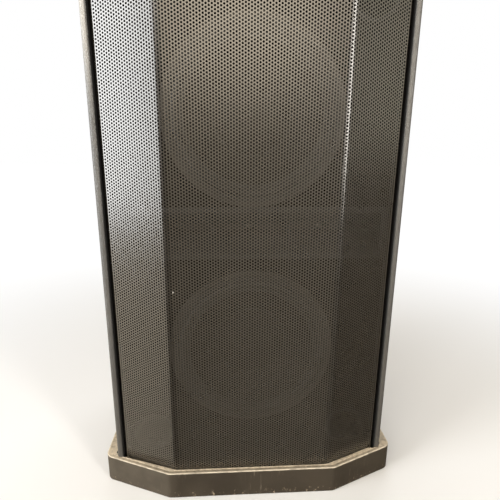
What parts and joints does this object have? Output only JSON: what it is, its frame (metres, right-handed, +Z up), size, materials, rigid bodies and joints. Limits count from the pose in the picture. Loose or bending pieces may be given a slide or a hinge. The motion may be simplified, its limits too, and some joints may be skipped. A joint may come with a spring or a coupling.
{
  "type": "line array loudspeaker",
  "caption": "Tall stage loudspeaker on a moulded end cap: folded perforated grille over two woofers and a waveguide band, recessed side handles, rear connector dish.",
  "frame": {"origin": "on the floor, under the centre of the end caps", "axes": "+Z up along the height, grille facing -Y, +X to the right as seen by a listener who faces the grille"},
  "size_m": [0.562, 0.43, 0.96],
  "materials": {
    "panel_paint": "textured dark grey-brown cabinet paint over plywood",
    "baffle_paint": "flat black paint over plywood",
    "bare_plywood": "unfinished birch plywood",
    "grille_paint": "satin black paint on perforated steel, chipped at the folds",
    "cap_moulding": "fine-grained moulding, rim worn pale",
    "rubber": "matt",
    "foam": "open-cell foam",
    "cast_frame": "powder-coated cast aluminium",
    "cone_paper": "treated pulp with visible fibres",
    "copper": "enamelled winding",
    "spider_cloth": "resin-dipped cotton",
    "zinc_steel": "zinc plated",
    "ferrite": "bare ferrite",
    "black_steel": "black painted steel",
    "black_plastic": "fine-grained black moulding",
    "motor_paint": "dark grey enamel",
    "titanium": "thin rolled foil",
    "circuit_board": "solder-masked fibreglass",
    "capacitor_film": "wrapped film",
    "grip_rubber": "ribbed grip"
  },
  "bodies": {
    "cabinet": {"left_side_panel": "panel_paint", "right_side_panel": "panel_paint", "top_panel": "baffle_paint", "bottom_panel": "baffle_paint", "rear_panel": "panel_paint", "baffle": "baffle_paint", "lower_shelf": "bare_plywood", "upper_shelf": "bare_plywood", "front_grille": "grille_paint", "grille_seals": "foam", "bottom_cap": "cap_moulding", "top_cap": "cap_moulding", "rubber_feet": "rubber", "cap_screws": "zinc_steel", "lower_frame": "cast_frame", "lower_gasket": "rubber", "lower_surround": "rubber", "lower_spider": "spider_cloth", "lower_front_plate": "zinc_steel", "lower_magnet": "ferrite", "lower_pole_piece": "zinc_steel", "lower_woofer_screws": "black_steel", "upper_frame": "cast_frame", "upper_gasket": "rubber", "upper_surround": "rubber", "upper_spider": "spider_cloth", "upper_front_plate": "zinc_steel", "upper_magnet": "ferrite", "upper_pole_piece": "zinc_steel", "upper_woofer_screws": "black_steel", "hf_waveguide": "black_plastic", "waveguide_screws": "black_steel", "left_hf_motor": "motor_paint", "centre_hf_motor": "motor_paint", "right_hf_motor": "motor_paint", "hf_covers": "black_plastic", "crossover_board": "circuit_board", "crossover_coils": "copper", "crossover_capacitors": "capacitor_film", "input_plate": "black_steel", "input_sockets": "black_plastic", "plate_screws": "zinc_steel", "port_tubes": "black_plastic", "left_handle_cup": "black_plastic", "right_handle_cup": "black_plastic", "left_handle_bar": "grip_rubber", "right_handle_bar": "grip_rubber", "handle_screws": "zinc_steel", "fly_inserts": "zinc_steel", "acoustic_lining": "foam"},
    "lower_cone_assembly": {"lower_cone": "cone_paper", "lower_dust_cap": "cone_paper", "lower_voice_coil": "copper"},
    "upper_cone_assembly": {"upper_cone": "cone_paper", "upper_dust_cap": "cone_paper", "upper_voice_coil": "copper"},
    "left_dome": {"left_hf_diaphragm": "titanium"},
    "centre_dome": {"centre_hf_diaphragm": "titanium"},
    "right_dome": {"right_hf_diaphragm": "titanium"},
    "selector": {"selector_knob": "black_plastic"}
  },
  "joints": [
    {"name": "lower_cone_travel", "type": "slide", "parent": "cabinet", "child": "lower_cone_assembly", "axis": [0, -1, 0], "range_m": [-0.007, 0.007], "stiffness_N_per_m": 2500, "deforming": ["lower_surround", "lower_spider"]},
    {"name": "upper_cone_travel", "type": "slide", "parent": "cabinet", "child": "upper_cone_assembly", "axis": [0, -1, 0], "range_m": [-0.007, 0.007], "stiffness_N_per_m": 2500, "deforming": ["upper_surround", "upper_spider"]},
    {"name": "left_dome_travel", "type": "slide", "parent": "cabinet", "child": "left_dome", "axis": [0, -1, 0], "range_m": [-0.0004, 0.0004], "stiffness_N_per_m": 400},
    {"name": "centre_dome_travel", "type": "slide", "parent": "cabinet", "child": "centre_dome", "axis": [0, -1, 0], "range_m": [-0.0004, 0.0004], "stiffness_N_per_m": 400},
    {"name": "right_dome_travel", "type": "slide", "parent": "cabinet", "child": "right_dome", "axis": [0, -1, 0], "range_m": [-0.0004, 0.0004], "stiffness_N_per_m": 400},
    {"name": "selector_turn", "type": "hinge", "parent": "cabinet", "child": "selector", "pos_m": [0.048, 0.182, 0.49], "axis": [0, 1, 0], "range_deg": [0, 90]}
  ]
}
